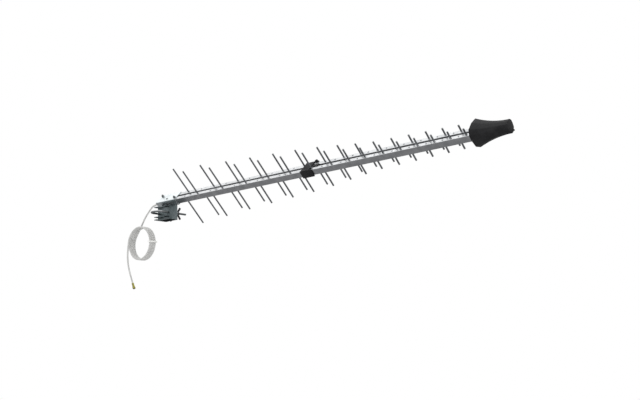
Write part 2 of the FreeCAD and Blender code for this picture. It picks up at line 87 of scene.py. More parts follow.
def place_new(bm, before, turn):
    """Weld and place the vertices that were made since before."""
    fresh = [v for v in bm.verts if v not in before]
    bmesh.ops.remove_doubles(bm, verts=fresh, dist=WELD)
    fresh = [v for v in bm.verts if v not in before]
    bmesh.ops.transform(bm, matrix=turn, verts=fresh)
    return fresh


def edges_of(verts):
    return {e for v in verts for e in v.link_edges}


def rise_of(edge):
    """How far an edge goes along the local Z axis."""
    return abs(edge.verts[0].co.z - edge.verts[1].co.z)


def scaled(profile, radius, height, base=0.0):
    """A profile given in shares of a radius and a height, at its real size."""
    return [(radius * r, base + height * h) for r, h in profile]


def lathe(bm, profile, turn=Matrix(), steps=ROUND_STEPS, ring=False):
    """Spin (radius, height) points about the local Z axis. A ring's profile is a closed loop."""
    before = set(bm.verts)
    points = [bm.verts.new((radius, 0, height)) for radius, height in profile]
    pairs = list(zip(points, points[1:]))
    if ring:
        pairs.append((points[-1], points[0]))
    edges = [bm.edges.new(pair) for pair in pairs]
    bmesh.ops.spin(bm, geom=points + edges, axis=(0, 0, 1), cent=(0, 0, 0), angle=2 * math.pi,
                   steps=steps, use_merge=True)
    return place_new(bm, before, turn)


def thread(bm, dia, length, pitch, turn):
    """A length of screw thread along the local Z axis, closed at both ends."""
    before = set(bm.verts)
    crest = dia / 2
    root = crest - THREAD_DEPTH * pitch
    points = []
    for count in range(int(length / pitch)):
        points.append(bm.verts.new((root, 0, count * pitch)))
        points.append(bm.verts.new((crest, 0, (count + 0.5) * pitch)))
    edges = [bm.edges.new(pair) for pair in zip(points, points[1:])]
    bmesh.ops.spin(bm, geom=points + edges, axis=(0, 0, 1), cent=(0, 0, 0), angle=2 * math.pi,
                   steps=THREAD_STEPS, dvec=(0, 0, pitch / THREAD_STEPS), use_merge=False)
    fresh = place_new(bm, before, turn)
    rims = [e for e in edges_of(fresh) if e.is_boundary]
    bmesh.ops.holes_fill(bm, edges=rims, sides=0)


def rectangle(bm, width, depth):
    """The vertices of a flat rectangle in the local XY plane."""
    verts = bmesh.ops.create_grid(bm, x_segments=1, y_segments=1, size=0.5)["verts"]
    bmesh.ops.scale(bm, vec=(width, depth, 1), verts=verts)
    return verts


def rounded_face(bm, width, depth, corner):
    """A flat rectangle with rounded corners, in the local XY plane."""
    made = bmesh.ops.bevel(bm, geom=rectangle(bm, width, depth), offset=corner, offset_type="OFFSET",
                           affect="VERTICES", segments=CORNER_STEPS, profile=0.5, material=-1)
    return max({f for v in made["verts"] for f in v.link_faces}, key=lambda face: face.calc_area())


def thicken(bm, faces, depth):
    """Extrude flat faces along the local Z axis into a closed block."""
    made = bmesh.ops.extrude_face_region(bm, geom=faces, use_keep_orig=True)
    top = [item for item in made["geom"] if isinstance(item, bmesh.types.BMVert)]
    bmesh.ops.translate(bm, vec=(0, 0, depth), verts=top)
    return top


def round_edges(bm, edges, width, segments=EASE_STEPS):
    bmesh.ops.bevel(bm, geom=edges, offset=width, offset_type="OFFSET", affect="EDGES",
                    segments=segments, profile=0.5, material=-1, clamp_overlap=True)


def rounded_tube(bm, width, depth, corner, wall, length, turn):
    """A rectangular tube along the local Z axis, its corners rounded inside and out."""
    before = set(bm.verts)
    middle = rectangle(bm, width, depth)[0].link_faces[0]
    end = bmesh.ops.inset_region(bm, faces=[middle], thickness=wall, use_boundary=True,
                                 use_even_offset=True)["faces"]
    bmesh.ops.delete(bm, geom=[middle], context="FACES")
    thicken(bm, end, length)
    lengthwise = [e for e in edges_of(v for v in bm.verts if v not in before) if rise_of(e) > WELD]
    outside = [e for e in lengthwise if abs(e.verts[0].co.x) > width / 2 - WELD]
    inside = [e for e in lengthwise if e not in outside]
    round_edges(bm, outside, corner, CORNER_STEPS)
    round_edges(bm, inside, max(corner - wall, corner * INSIDE_CORNER), CORNER_STEPS)
    place_new(bm, before, turn)


def hex_corner(flats):
    """How far a hexagon's corners are from its middle, from its width across flats."""
    return flats / 2 / math.cos(math.pi / 6)


def hexagon(bm, flats, height, turn, chamfer=HEX_CHAMFER):
    """A hexagonal block along the local Z axis, its ends chamfered."""
    before = set(bm.verts)
    made = bmesh.ops.create_circle(bm, cap_ends=True, segments=6, radius=hex_corner(flats))
    thicken(bm, [made["verts"][0].link_faces[0]], height)
    rims = [e for e in edges_of(v for v in bm.verts if v not in before) if rise_of(e) < WELD]
    round_edges(bm, rims, chamfer)
    place_new(bm, before, turn)


def sharp_edges(bm, angle=CREASE):
    """The edges between faces that turn by more than an angle."""
    return [e for e in bm.edges if len(e.link_faces) == 2 and e.calc_face_angle() > angle]


def cad_copy(node):
    """A welded copy of a CAD node's mesh, its flat faces whole."""
    bm = bmesh.new()
    bm.from_mesh(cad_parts[node].data)
    bmesh.ops.remove_doubles(bm, verts=bm.verts, dist=WELD)
    bmesh.ops.dissolve_limit(bm, angle_limit=FLAT_WITHIN, verts=bm.verts, edges=bm.edges)
    return bm


def along_x(edge):
    first, last = (v.co for v in edge.verts)
    return abs((last - first).normalized().x) > PARALLEL


def make_piece(name, bm, material, stands_for=(), body="antenna", turn=Matrix(), flat=True):
    """A mesh object at the origin that rides on a body and stands for CAD nodes.

    Its flat faces keep flat shading beside rounded edges, unless flat is off.
    """
    bmesh.ops.dissolve_degenerate(bm, dist=WELD, edges=bm.edges)
    bmesh.ops.recalc_face_normals(bm, faces=bm.faces)
    bmesh.ops.transform(bm, matrix=turn, verts=bm.verts)
    mesh = bpy.data.meshes.new(name)
    bm.to_mesh(mesh)
    bm.free()
    mesh.materials.append(material)
    mesh.shade_smooth()
    mesh.set_sharp_from_angle(angle=SMOOTH_UP_TO)
    piece = bpy.data.objects.new(name, mesh)
    bpy.context.scene.collection.objects.link(piece)
    if flat:
        shading = piece.modifiers.new("flat_faces", "WEIGHTED_NORMAL")
        shading.keep_sharp = True
    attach(piece, body)
    if stands_for:
        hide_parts(*stands_for)
    return piece


# Shader groups

LINE_DETAIL = 3
PATCH_SCALE = 60
PATCH_DETAIL = 4
GLOSS_SCALE = 45
GLOSS_DETAIL = 5


def new_group(name, inputs, outputs):
    """An empty shader group with named value and vector sockets."""
    tree = bpy.data.node_groups.new(name, "ShaderNodeTree")
    for label, kind in inputs.items():
        tree.interface.new_socket(label, in_out="INPUT", socket_type=kind)
    for label in outputs:
        tree.interface.new_socket(label, in_out="OUTPUT", socket_type="NodeSocketFloat")
    return tree, tree.nodes.new("NodeGroupInput"), tree.nodes.new("NodeGroupOutput")


def streaks_group():
    """Fine lines, as drawing through a die leaves them, longest where the stretch is least, and patches."""
    tree, inside, out = new_group("drawn_streaks", {"Vector": "NodeSocketVector", "Scale": "NodeSocketFloat",
                                                    "Stretch": "NodeSocketVector"}, ("Lines", "Patches"))
    squeeze = tree.nodes.new("ShaderNodeVectorMath")
    squeeze.operation = "MULTIPLY"
    lines = tree.nodes.new("ShaderNodeTexNoise")
    lines.inputs["Detail"].default_value = LINE_DETAIL
    patches = tree.nodes.new("ShaderNodeTexNoise")
    patches.inputs["Scale"].default_value = PATCH_SCALE
    patches.inputs["Detail"].default_value = PATCH_DETAIL
    link = tree.links.new
    link(inside.outputs["Vector"], squeeze.inputs[0])
    link(inside.outputs["Stretch"], squeeze.inputs[1])
    link(squeeze.outputs["Vector"], lines.inputs["Vector"])
    link(inside.outputs["Scale"], lines.inputs["Scale"])
    link(inside.outputs["Vector"], patches.inputs["Vector"])
    link(lines.outputs["Fac"], out.inputs["Lines"])
    link(patches.outputs["Fac"], out.inputs["Patches"])
    return tree


def grain_group():
    """A moulded surface's fine grain, and soft uneven gloss."""
    tree, inside, out = new_group("moulded_grain", {"Vector": "NodeSocketVector", "Scale": "NodeSocketFloat"},
                                  ("Grain", "Gloss"))
    grain = tree.nodes.new("ShaderNodeTexVoronoi")
    gloss = tree.nodes.new("ShaderNodeTexNoise")
    gloss.inputs["Scale"].default_value = GLOSS_SCALE
    gloss.inputs["Detail"].default_value = GLOSS_DETAIL
    link = tree.links.new
    link(inside.outputs["Vector"], grain.inputs["Vector"])
    link(inside.outputs["Scale"], grain.inputs["Scale"])
    link(inside.outputs["Vector"], gloss.inputs["Vector"])
    link(grain.outputs["Distance"], out.inputs["Grain"])
    link(gloss.outputs["Fac"], out.inputs["Gloss"])
    return tree


STREAKS = streaks_group()
GRAIN = grain_group()


# Materials
# A tint or gloss span is the part of a mask over which the finish changes.

GLOSS_SPAN = (0.3, 0.7)
ALUMINIUM_SPAN = (0.35, 0.7)
STREAK_BUMP = 0.1
STREAK_DEPTH = 0.000015
PLATING_SPAN = (0.38, 0.66)
PLATING_STRETCH = (160, 160, 160)
PLATING_BUMP = 0.05
PLATING_DEPTH = 0.00002
PLASTIC_SPAN = (0.35, 0.68)
GRAIN_BUMP = 0.12
UNSCALED = 1.0


class Finish:
    """A material under construction: its nodes, its links and its surface shader."""

    def __init__(self, name, metallic, roughness):
        self.material = bpy.data.materials.new(name)
        self.material.use_nodes = True
        self.nodes = self.material.node_tree.nodes
        self.link = self.material.node_tree.links.new
        self.surface = self.nodes["Principled BSDF"]
        self.surface.inputs["Metallic"].default_value = metallic
        self.surface.inputs["Roughness"].default_value = roughness
        self.coordinates = self.nodes.new("ShaderNodeTexCoord")

    def pattern(self, tree, turn=0.0, **values):
        """Place a shader group on Object coordinates, turned about X, with its own values."""
        mapping = self.nodes.new("ShaderNodeMapping")
        mapping.inputs["Rotation"].default_value = (turn, 0, 0)
        node = self.nodes.new("ShaderNodeGroup")
        node.node_tree = tree
        self.link(self.coordinates.outputs["Object"], mapping.inputs["Vector"])
        self.link(mapping.outputs["Vector"], node.inputs["Vector"])
        for label, number in values.items():
            node.inputs[label].default_value = number
        return node

    def tint(self, mask, span_of_mask, dark, light):
        """Colour that goes from dark to light over a span of a mask."""
        ramp = self.nodes.new("ShaderNodeValToRGB")
        first, last = ramp.color_ramp.elements
        first.position, last.position = span_of_mask
        first.color = (*dark, 1)
        last.color = (*light, 1)
        self.link(mask, ramp.inputs["Fac"])
        self.link(ramp.outputs["Color"], self.surface.inputs["Base Color"])

    def gloss(self, mask, smooth, rough):
        """Roughness that goes from smooth to rough over the gloss span of a mask."""
        scale = self.nodes.new("ShaderNodeMapRange")
        for label, number in zip(("From Min", "From Max", "To Min", "To Max"), (*GLOSS_SPAN, smooth, rough)):
            scale.inputs[label].default_value = number
        self.link(mask, scale.inputs["Value"])
        self.link(scale.outputs["Result"], self.surface.inputs["Roughness"])

    def relief(self, mask, strength, depth):
        """Bump from a mask, with its depth in metres."""
        bump = self.nodes.new("ShaderNodeBump")
        bump.inputs["Strength"].default_value = strength
        bump.inputs["Distance"].default_value = depth
        self.link(mask, bump.inputs["Height"])
        self.link(bump.outputs["Normal"], self.surface.inputs["Normal"])


def drawn_aluminium(name, dark, light, smooth, rough, stretch, turn=0.0):
    finish = Finish(name, 1.0, rough)
    lines = finish.pattern(STREAKS, turn, Scale=UNSCALED, Stretch=stretch)
    finish.tint(lines.outputs["Patches"], ALUMINIUM_SPAN, dark, light)
    finish.gloss(lines.outputs["Lines"], smooth, rough)
    finish.relief(lines.outputs["Lines"], STREAK_BUMP, STREAK_DEPTH)
    return finish.material


def plated_metal(name, dark, light, smooth, rough):
    finish = Finish(name, 1.0, rough)
    lines = finish.pattern(STREAKS, Scale=UNSCALED, Stretch=PLATING_STRETCH)
    finish.tint(lines.outputs["Patches"], PLATING_SPAN, dark, light)
    finish.gloss(lines.outputs["Patches"], smooth, rough)
    finish.relief(lines.outputs["Lines"], PLATING_BUMP, PLATING_DEPTH)
    return finish.material


def moulded_plastic(name, dark, light, smooth, rough, grain, depth, shine):
    finish = Finish(name, 0.0, rough)
    finish.surface.inputs["Specular IOR Level"].default_value = shine
    face = finish.pattern(GRAIN, Scale=grain)
    finish.tint(face.outputs["Gloss"], PLASTIC_SPAN, dark, light)
    finish.gloss(face.outputs["Gloss"], smooth, rough)
    finish.relief(face.outputs["Grain"], GRAIN_BUMP, depth)
    return finish.material


BOOM_ALUMINIUM = drawn_aluminium("boom_aluminium", dark=(0.48, 0.49, 0.5), light=(0.63, 0.64, 0.65),
                                 smooth=0.26, rough=0.42, stretch=(6, 1500, 1500))
# The rods are drawn aluminium like the booms, with their colour painted darker as painted shade on the thin
# rods.
ROD_ALUMINIUM_PAINTED_SHADE = drawn_aluminium("rod_aluminium", dark=(0.24, 0.25, 0.26), light=(0.34, 0.35, 0.36),
                                smooth=0.24, rough=0.4, stretch=(1500, 1500, 8), turn=-BOOM_ROLL)
ZINC_STEEL = plated_metal("zinc_steel", dark=(0.62, 0.66, 0.67), light=(0.78, 0.82, 0.83),
                          smooth=0.34, rough=0.52)
BRACKET_STEEL = plated_metal("bracket_steel", dark=(0.13, 0.16, 0.165), light=(0.22, 0.255, 0.265),
                             smooth=0.34, rough=0.5)
BOLT_STEEL = plated_metal("bolt_steel", dark=(0.25, 0.265, 0.27), light=(0.36, 0.375, 0.38),
                          smooth=0.28, rough=0.44)
WING_NUT_STEEL = plated_metal("wing_nut_steel", dark=(0.02, 0.02, 0.022), light=(0.06, 0.06, 0.065),
                              smooth=0.3, rough=0.46)
GOLD_BRASS = plated_metal("gold_brass", dark=(0.23, 0.21, 0.04), light=(0.38, 0.355, 0.09),
                          smooth=0.2, rough=0.34)
BLACK_PLASTIC = moulded_plastic("black_plastic", dark=(0.012, 0.012, 0.013), light=(0.02, 0.02, 0.021),
                                smooth=0.5, rough=0.62, grain=1200, depth=0.00004, shine=0.1)
COAX_JACKET = moulded_plastic("coax_jacket", dark=(0.44, 0.44, 0.43), light=(0.52, 0.52, 0.51),
                              smooth=0.5, rough=0.62, grain=900, depth=0.000004, shine=0.15)
TIE_PLASTIC = moulded_plastic("tie_plastic", dark=(0.68, 0.68, 0.66), light=(0.78, 0.78, 0.76),
                              smooth=0.36, rough=0.5, grain=1600, depth=0.00001, shine=0.3)


# Booms and rods

BOOM_CORNER = 0.0011
BOOM_WALL = 0.0015
DIPOLES = 31
ROD_STEPS = 18
ROD_CHAMFER = 0.0004
COLLAR_OVER = 0.0009
COLLAR_SIDE = 0.0004
COLLAR_SHOULDER = 0.0007
COLLAR_RISE = 0.001
COLLAR_EASE = 0.0003
RIVET_RISE = 0.0011
RIVET_HEAD = ((0, 0), (1, 0), (0.94, 0.45), (0.6, 0.9), (0, 1))


def booms():
    """Two drawn rectangular tubes."""
    for node in ("boom_near", "boom_far"):
        low, high = span(node)
        size = high - low
        middle = (low + high) / 2
        rear = Matrix.Translation((low.x, middle.y, middle.z)) @ ALONG_X
        bm = bmesh.new()
        rounded_tube(bm, size.z, size.y, BOOM_CORNER, BOOM_WALL, size.x, rear)
        make_piece(node + "_tube", bm, BOOM_ALUMINIUM, [node], turn=ROLLED)


def rods():
    """Each dipole's two half rods, with a collar, a chamfered tip, and a rivet head behind the boom."""
    boom_low, boom_high = span("boom_far")
    boom_middle = (boom_low.y + boom_high.y) / 2
    foot = boom_high.z
    for number in range(1, DIPOLES + 1):
        node = "dipole_%02d" % number
        low, high = span(node)
        radius = (high.x - low.x) / 2
        tip = high.z
        side = boom_middle if number % 2 else -boom_middle
        collar = radius + COLLAR_OVER
        rod = [(0, foot), (collar, foot), (collar, foot + COLLAR_SIDE),
               (collar - COLLAR_EASE, foot + COLLAR_SHOULDER), (radius, foot + COLLAR_RISE),
               (radius, tip - ROD_CHAMFER), (radius - ROD_CHAMFER, tip), (0, tip)]
        rivet = scaled(RIVET_HEAD, radius, -RIVET_RISE, -foot)
        bm = bmesh.new()
        for turn in (Matrix.Translation((low.x + radius, side, 0)),
                     Matrix.Translation((low.x + radius, -side, 0)) @ TURNED_OVER):
            lathe(bm, rod, turn, ROD_STEPS)
            lathe(bm, rivet, turn, ROD_STEPS)
        make_piece(node + "_rods", bm, ROD_ALUMINIUM_PAINTED_SHADE, [node], turn=ROLLED)


# Nose cap
# Its corners are (s, e) shares of its half size.

CAP_SIDE = ((-0.72, 0.82), (-0.98, 0.5), (-1.0, 0.11), (-0.84, -0.54), (-0.3, -0.96))
CAP_CORNERS = [(0.0, 0.92), *CAP_SIDE] + [(-s, e) for s, e in reversed(CAP_SIDE)]
CAP_LOWEST = -min(e for s, e in CAP_CORNERS)
CAP_TIP = Vector((0, 0.016, 0.017))
CAP_WAIST = 0.45
CAP_WAIST_IN = 0.0045
CAP_SECTIONS = 12
CAP_CREASE = math.radians(12)
CAP_ROUNDING = 0.0014
CAP_ROUNDING_STEPS = 3
CAP_WALL = 0.0018
NUB_CORNER = 4
NUB_SHARE = 0.84
NUB_R = 0.0019
NUB_OUT = 0.003
NUB_IN = 0.001
NUB_TOP = ((1, 0.5), (0.7, 0.9), (0, 1))


def cap_half(rim, tip, share):
    """The cap's half size at a share of its length, on the curve through its rim, waist and tip."""
    waist = rim + (tip - rim) * CAP_WAIST - CAP_WAIST_IN
    rim_part = (share - CAP_WAIST) * (share - 1) / CAP_WAIST
    waist_part = share * (share - 1) / (CAP_WAIST * (CAP_WAIST - 1))
    tip_part = share * (share - CAP_WAIST) / (1 - CAP_WAIST)
    return rim * rim_part + waist * waist_part + tip * tip_part


def nose_cap():
    """A moulded many-sided hood that narrows in a hollow curve to a blunt tip."""
    low, high = span("nose_cap")
    rim = Vector((0, high.y, -low.z / CAP_LOWEST))
    step = (high.x - low.x) / CAP_SECTIONS
    bm = bmesh.new()
    ring = [bm.verts.new((low.x, s * rim.y, e * rim.z)) for s, e in CAP_CORNERS]
    edges = [bm.edges.new(pair) for pair in zip(ring, ring[1:] + ring[:1])]
    last = rim
    for section in range(1, CAP_SECTIONS + 1):
        share = section / CAP_SECTIONS
        size = Vector((0, cap_half(rim.y, CAP_TIP.y, share), cap_half(rim.z, CAP_TIP.z, share)))
        made = bmesh.ops.extrude_edge_only(bm, edges=edges)["geom"]
        ring = [item for item in made if isinstance(item, bmesh.types.BMVert)]
        edges = [item for item in made if isinstance(item, bmesh.types.BMEdge)
                 and all(v in ring for v in item.verts)]
        bmesh.ops.scale(bm, vec=(1, size.y / last.y, size.z / last.z), verts=ring)
        bmesh.ops.translate(bm, vec=(step, 0, 0), verts=ring)
        last = size
    bmesh.ops.contextual_create(bm, geom=edges)
    bmesh.ops.recalc_face_normals(bm, faces=bm.faces)
    round_edges(bm, sharp_edges(bm, CAP_CREASE), CAP_ROUNDING, CAP_ROUNDING_STEPS)
    piece = make_piece("nose_hood", bm, BLACK_PLASTIC, ["nose_cap"], turn=ROLLED, flat=False)
    wall = piece.modifiers.new("wall", "SOLIDIFY")
    wall.thickness = CAP_WALL
    wall.offset = -1

    # A moulding nub stands on the tip, at the lower corner away from the near side.
    corner_s, corner_e = CAP_SIDE[NUB_CORNER]
    place = Vector((high.x, -corner_s * CAP_TIP.y * NUB_SHARE, corner_e * CAP_TIP.z * NUB_SHARE))
    profile = [(0, -NUB_IN), (NUB_R, -NUB_IN)] + scaled(NUB_TOP, NUB_R, NUB_OUT)
    bm = bmesh.new()
    lathe(bm, profile, Matrix.Translation(place) @ ALONG_X)
    make_piece("nose_nub", bm, BLACK_PLASTIC, turn=ROLLED)


# Clip half way along the booms
# The knob's profile is in shares of its radius and height.

CLIP_CORNER = 0.0022
CLIP_EDGE = 0.0005
CLIP_SCREW_DIA = 0.004
CLIP_SCREW_PITCH = 0.0007
KNOB_HEIGHT = 0.005
KNOB_PROFILE = ((0, 0), (0.8, 0), (1, 0.16), (1, 0.8), (0.86, 1), (0.5, 1), (0.42, 0.82), (0, 0.82))
KNOB_STEPS = 40
KNOB_NOTCH_STEPS = 4
KNOB_NOTCH_DEPTH = 0.13
KNOB_RIM = 0.95


def boom_clip():
    """A moulded clip with chamfered corners."""
    bm = cad_copy("mid_clip")
    low, high = span("mid_clip")

    def outer(edge):
        ends = [UNROLLED @ v.co for v in edge.verts]
        flush = [abs(p.z - low.z) < WELD or abs(p.z - high.z) < WELD for p in ends]
        return along_x(edge) and all(flush)

    round_edges(bm, [e for e in sharp_edges(bm) if outer(e)], CLIP_CORNER)
    round_edges(bm, sharp_edges(bm, CUT_EDGE), CLIP_EDGE)
    make_piece("boom_clip", bm, BLACK_PLASTIC, ["mid_clip"])


def clip_thumb_screw():
    """A screw with a notched knob, and the nut that it turns in."""
    low, high = span("clip_screw")
    middle = (low + high) / 2
    face = high.z - KNOB_HEIGHT
    radius = (high.x - low.x) / 2
    bm = bmesh.new()
    knob = lathe(bm, scaled(KNOB_PROFILE, radius, KNOB_HEIGHT),
                 Matrix.Translation((middle.x, middle.y, face)), KNOB_STEPS)
    for vert in knob:
        arm = Vector((vert.co.x - middle.x, vert.co.y - middle.y, 0))
        step = round(math.atan2(arm.y, arm.x) / (2 * math.pi) * KNOB_STEPS)
        if arm.length > radius * KNOB_RIM and step % KNOB_NOTCH_STEPS == 0:
            vert.co -= arm * KNOB_NOTCH_DEPTH
    thread(bm, CLIP_SCREW_DIA, face - low.z, CLIP_SCREW_PITCH,
           Matrix.Translation((middle.x, middle.y, low.z)))
    make_piece("clip_thumb_screw", bm, BLACK_PLASTIC, ["clip_screw"], turn=ROLLED)

    low, high = span("clip_nut")
    middle = (low + high) / 2
    bm = bmesh.new()
    hexagon(bm, high.y - low.y, high.z - low.z, Matrix.Translation((middle.x, middle.y, low.z)))
    make_piece("clip_hex_nut", bm, BOLT_STEEL, ["clip_nut"], turn=ROLLED)


# Rear clamp
# The pan head's profile is in shares of its radius and height.

FOLD = 0.0026
FOLD_STEPS = 4
SHEET_EDGE = 0.0003
SHEET_EDGE_STEPS = 1
STRAP_BOLT_FLATS = 0.008
STRAP_BOLT_DIA = 0.005
STRAP_BOLT_PITCH = 0.0008
STRAP_NUT_HEIGHT = 0.004
STRAP_SCREW_DIA = 0.003
STRAP_SCREW_PITCH = 0.0005
PAN_HEAD = ((0, 0), (1, 0), (1, 0.35), (0.9, 0.7), (0.66, 0.94), (0.4, 1), (0.3, 0.5), (0, 0.4))


def folded_sheet(name, node, folds, material=ZINC_STEEL):
    """A copy of a folded plate with its folds rounded and its cut edges eased."""
    bm = cad_copy(node)
    round_edges(bm, [e for e in sharp_edges(bm) if folds(e)], FOLD, FOLD_STEPS)
    round_edges(bm, sharp_edges(bm, CUT_EDGE), SHEET_EDGE, SHEET_EDGE_STEPS)
    make_piece(name, bm, material, [node])


def corner_fold(node, end):
    """A test for the edges along the corner of a plate that is at one end of its span."""
    corner = span(node)[end]

    def folds(edge):
        ends = [UNROLLED @ v.co for v in edge.verts]
        return along_x(edge) and all(abs(p.y - corner.y) < WELD and abs(p.z - corner.z) < WELD for p in ends)
    return folds


def rear_clamp():
    """The plated cradle and strap, their two bolts and the small screw."""
    folded_sheet("boom_cradle_sheet", "boom_cradle", corner_fold("boom_cradle", 0))
    folded_sheet("boom_strap_sheet", "boom_strap", corner_fold("boom_strap", 1))

    low, high = span("strap_bolts")
    plate_low = span("boom_cradle")[0].z
    plate_top = span("boom_strap")[1].z
    corner = hex_corner(STRAP_BOLT_FLATS)
    boom_low, boom_high = span("boom_far")
    side = (boom_low.y + boom_high.y) / 2
    bm = bmesh.new()
    for x, s in ((high.x - corner, -side), (low.x + corner, side)):
        hexagon(bm, STRAP_BOLT_FLATS, plate_low - low.z, Matrix.Translation((x, s, low.z)))
        hexagon(bm, STRAP_BOLT_FLATS, STRAP_NUT_HEIGHT, Matrix.Translation((x, s, plate_top)))
        thread(bm, STRAP_BOLT_DIA, high.z - plate_low, STRAP_BOLT_PITCH,
               Matrix.Translation((x, s, plate_low)))
    make_piece("strap_hex_bolts", bm, BOLT_STEEL, ["strap_bolts"], turn=ROLLED)

    low, high = span("strap_screw")
    middle = (low + high) / 2
    bm = bmesh.new()
    lathe(bm, scaled(PAN_HEAD, (high.x - low.x) / 2, high.z - plate_top),
          Matrix.Translation((middle.x, middle.y, plate_top)), TURNED_STEPS)
    thread(bm, STRAP_SCREW_DIA, plate_top - low.z, STRAP_SCREW_PITCH,
           Matrix.Translation((middle.x, middle.y, low.z)))
    make_piece("strap_pan_screw", bm, BOLT_STEEL, ["strap_screw"], turn=ROLLED)


# Bracket and jaw

BRACKET_FOLD_RISE = 0.01


def mast_bracket():
    """The folded bracket and the ribbed jaw."""
    low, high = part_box("mast_bracket")

    def on_corner(p):
        at_end = abs(p.x - low.x) < WELD or abs(p.x - high.x) < WELD
        return at_end and abs(p.y - high.y) < WELD

    def folds(edge):
        return rise_of(edge) > BRACKET_FOLD_RISE and all(on_corner(v.co) for v in edge.verts)

    folded_sheet("mast_bracket_sheet", "mast_bracket", folds, BRACKET_STEEL)
    folded_sheet("mast_jaw_ribs", "mast_jaw", lambda edge: False, BRACKET_STEEL)


# U-bolt and wing nuts
# UPRIGHT takes a wing's outline from the local XY plane to the plane of its leg and the Z axis.

BAR_SIDES = 20
BEND_STEPS = 32
LEG_THREAD_FROM = 0.034
LEG_PITCH = 0.001
WASHER_PLAY = 0.0004
WASHER_EASE = 0.0002
HUB_HEIGHT = 0.008
HUB_BORE = 0.0032
HUB_EASE = 0.0003
HUB_TAPER = 0.0004
HUB_SHOULDER = 0.7
HUB_TOP_IN = 0.0012
BORE_EASE = 0.0004
WING_THICK = 0.003
WING_ROUNDING = 0.0009
WING_ROUNDING_STEPS = 3
WING_ROOT = 0.0034
WING_HEEL = 0.0004
WING_ELBOW = (0.0018, 0.0062)
WING_TIP_FROM = 0.0058
WING_TIP_TO = 0.003
WING_TIP_IN = 0.0024
WING_NOSE = (0.0008, 0.0052)
WING_NECK_IN = 0.0006
WING_NECK_DROP = 0.0012
UPRIGHT = Matrix(((0, 0, 1, 0), (1, 0, 0, 0), (0, 1, 0, 0), (0, 0, 0, 1)))


def u_bolt():
    """A bent round bar with a thread on both legs, and the legs' washers."""
    low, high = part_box("u_bolt")
    radius = (high.z - low.z) / 2
    leg = high.x - radius
    bm = bmesh.new()
    made = bmesh.ops.create_circle(bm, segments=BAR_SIDES, radius=radius,
                                   matrix=Matrix.Translation((-leg, 0, 0)) @ ALONG_Y)
    ring = list(edges_of(made["verts"]))
    bent = bmesh.ops.spin(bm, geom=made["verts"] + ring, axis=(0, 0, 1), cent=(0, 0, 0), angle=math.pi,
                          steps=BEND_STEPS, use_merge=False)
    far = [item for item in bent["geom_last"] if isinstance(item, bmesh.types.BMEdge)]
    for loop in (ring, far):
        made = bmesh.ops.extrude_edge_only(bm, edges=loop)["geom"]
        verts = [item for item in made if isinstance(item, bmesh.types.BMVert)]
        bmesh.ops.translate(bm, vec=(0, LEG_THREAD_FROM, 0), verts=verts)
        rim = [item for item in made if isinstance(item, bmesh.types.BMEdge)
               and all(v in verts for v in item.verts)]
        bmesh.ops.contextual_create(bm, geom=rim)
    for x in (-leg, leg):
        thread(bm, 2 * radius, high.y - LEG_THREAD_FROM, LEG_PITCH,
               Matrix.Translation((x, LEG_THREAD_FROM, 0)) @ ALONG_Y)
    make_piece("u_bolt_bar", bm, BOLT_STEEL, ["u_bolt"], body="u_bolt")

    low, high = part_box("leg_washers")
    outer = (high.z - low.z) / 2
    thick = high.y - low.y
    bore = radius + WASHER_PLAY
    profile = [(bore, 0), (outer - WASHER_EASE, 0), (outer, WASHER_EASE), (outer, thick - WASHER_EASE),
               (outer - WASHER_EASE, thick), (bore, thick)]
    bm = bmesh.new()
    for x in (-leg, leg):
        lathe(bm, profile, Matrix.Translation((x, low.y, 0)) @ ALONG_Y, RING_STEPS, ring=True)
    make_piece("leg_flat_washers", bm, BOLT_STEEL, ["leg_washers"])


def wing_outline(hub, rise, reach):
    """A wing's corners, along the leg and away from it, from its root round its tip and back."""
    return [(WING_HEEL, WING_ROOT), WING_ELBOW, (rise - WING_TIP_FROM, reach), (rise - WING_TIP_TO, reach),
            (rise, reach - WING_TIP_IN), (rise - WING_NOSE[0], reach - WING_NOSE[1]),
            (HUB_HEIGHT, hub - WING_NECK_IN), (HUB_HEIGHT - WING_NECK_DROP, WING_ROOT)]


def wing_nuts():
    """Cast nuts with two wings each, on the U-bolt's legs."""
    for node in ("wing_nut_front", "wing_nut_rear"):
        low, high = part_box(node)
        size = high - low
        seat = Matrix.Translation(((low.x + high.x) / 2, low.y, 0))
        hub = size.x / 2
        profile = [(HUB_BORE, 0), (hub - HUB_EASE, 0), (hub, HUB_EASE),
                   (hub - HUB_TAPER, HUB_HEIGHT * HUB_SHOULDER), (hub - HUB_TOP_IN, HUB_HEIGHT - HUB_EASE),
                   (hub - HUB_TOP_IN - BORE_EASE, HUB_HEIGHT), (HUB_BORE + BORE_EASE, HUB_HEIGHT),
                   (HUB_BORE, HUB_HEIGHT - BORE_EASE)]
        bm = bmesh.new()
        lathe(bm, profile, seat @ ALONG_Y, RING_STEPS, ring=True)
        for side in (1, -1):
            before = set(bm.verts)
            corners = [bm.verts.new((along, away * side, -WING_THICK / 2))
                       for along, away in wing_outline(hub, size.y, size.z / 2)]
            thicken(bm, [bm.faces.new(corners)], WING_THICK)
            wing = edges_of(v for v in bm.verts if v not in before)
            round_edges(bm, list(wing), WING_ROUNDING, WING_ROUNDING_STEPS)
            place_new(bm, before, seat @ UPRIGHT)
        make_piece(node + "_cast", bm, WING_NUT_STEEL, [node], body=node)


# Boom end plugs
# The boss for the cable is given by its radius and its height in metres.

PLUG_FLANGE = 0.002
PLUG_CORNER = 0.0014
PLUG_EDGE = 0.0005
PLUG_DEPTH = 0.006
PLUG_INNER_CORNER = 0.0005
COAX_BOSS = ((0, 0), (0.0045, 0), (0.0045, -0.0008), (0.004, -0.0012), (0.004, -0.0018), (0.0041, -0.0022),
             (0.0037, -0.0026), (0.0037, -0.0032), (0.0034, -0.004), (0, -0.004))


